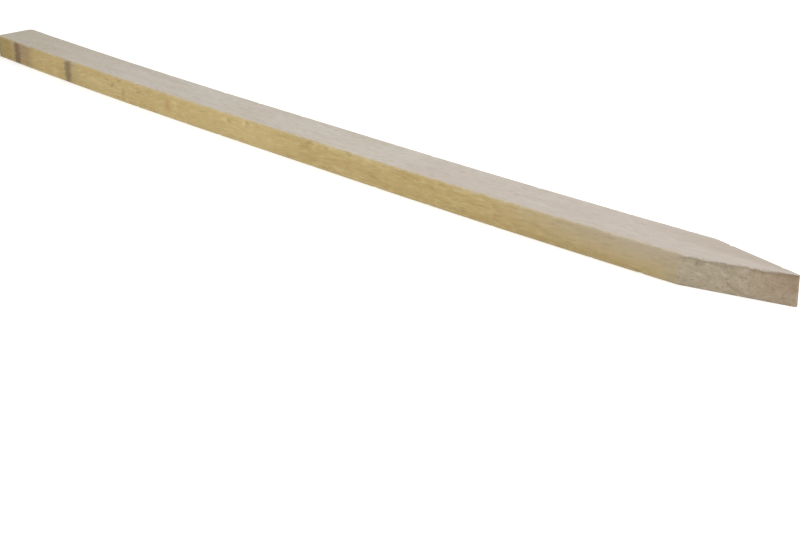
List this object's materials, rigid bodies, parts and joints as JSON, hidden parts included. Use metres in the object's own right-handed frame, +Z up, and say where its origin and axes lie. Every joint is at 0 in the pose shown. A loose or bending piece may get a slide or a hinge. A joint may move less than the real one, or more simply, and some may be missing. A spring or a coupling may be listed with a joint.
{
  "type": "wooden stake",
  "caption": "Sawn wooden garden stake: a flat batten, slightly warped edgewise, with a square head to drive and a point made by raking cuts on its narrow sides.",
  "frame": {"origin": "under the middle of the stake, on the surface it lies on", "axes": "+X along the stake toward the point, +Y across the wide face, +Z up out of the wide face"},
  "size_m": [0.914, 0.0488, 0.021],
  "materials": {
    "sawn_wood": "dry sawn hardwood, unsealed"
  },
  "bodies": {
    "root": {"stake": "sawn_wood"}
  },
  "joints": []
}
